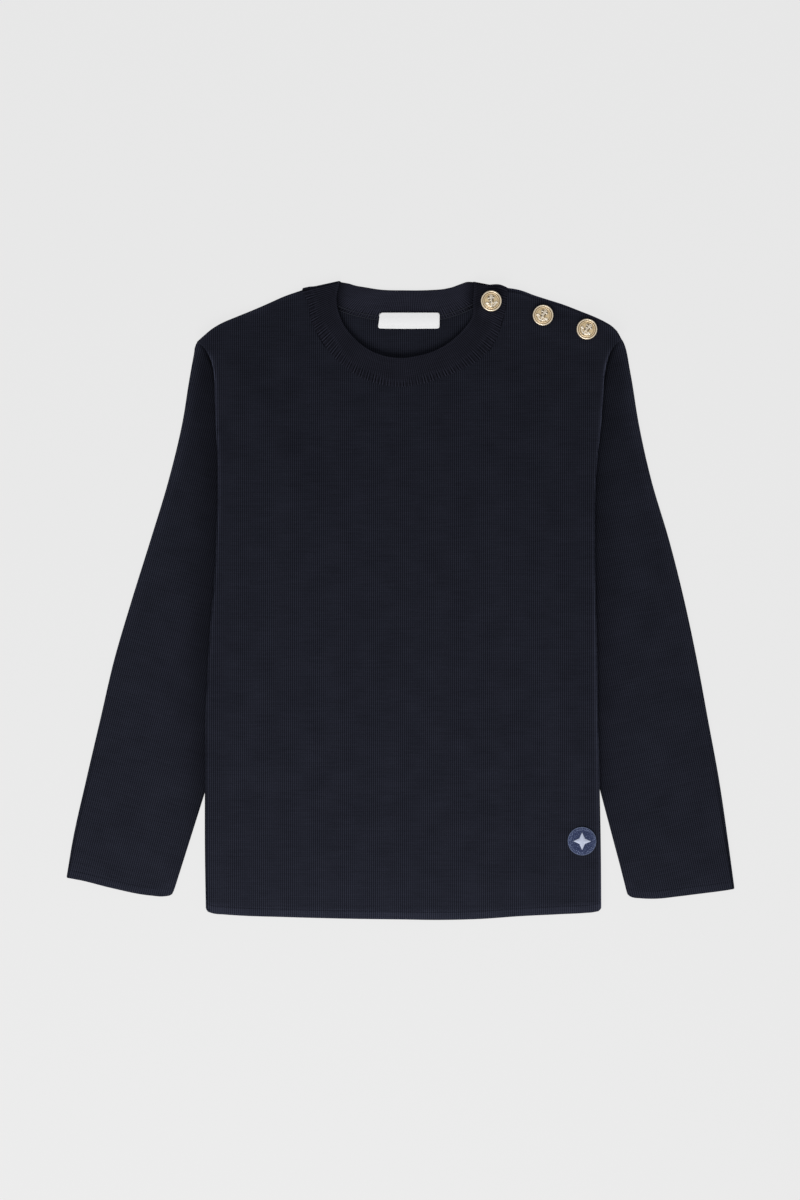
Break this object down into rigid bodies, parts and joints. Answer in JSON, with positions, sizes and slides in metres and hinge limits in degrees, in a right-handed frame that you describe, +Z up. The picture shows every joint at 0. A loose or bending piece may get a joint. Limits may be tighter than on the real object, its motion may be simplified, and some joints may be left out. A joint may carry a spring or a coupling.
{
  "type": "knitted sailor sweater",
  "caption": "Child's long-sleeved ribbed knit sweater laid flat, with a round doubled neckband, gilt buttons along the left shoulder, a neck label and a hem badge",
  "frame": {"origin": "the middle of the outline seen from above, on the surface that the sweater lies on", "axes": "+Z up from that surface, +Y from the hem to the neck, +X to the wearer's left, which is the buttoned side"},
  "size_m": [0.5352, 0.5108, 0.0139],
  "materials": {
    "navy_knit": "matt fine ribbed cotton knit",
    "navy_rib": "matt doubled rib",
    "gilt": "stamped and gilded, satin with a bright rim",
    "white_satin": "smooth woven satin",
    "woven_badge": "woven with an overlocked rim"
  },
  "bodies": {
    "root": {"front_panel": "navy_knit", "back_panel": "navy_knit", "sleeve_left": "navy_knit", "sleeve_right": "navy_knit", "shoulder_stand": "navy_knit", "neckband": "navy_rib", "button_neck": "gilt", "button_middle": "gilt", "button_shoulder": "gilt", "neck_label": "white_satin", "hem_badge": "woven_badge"}
  },
  "joints": []
}
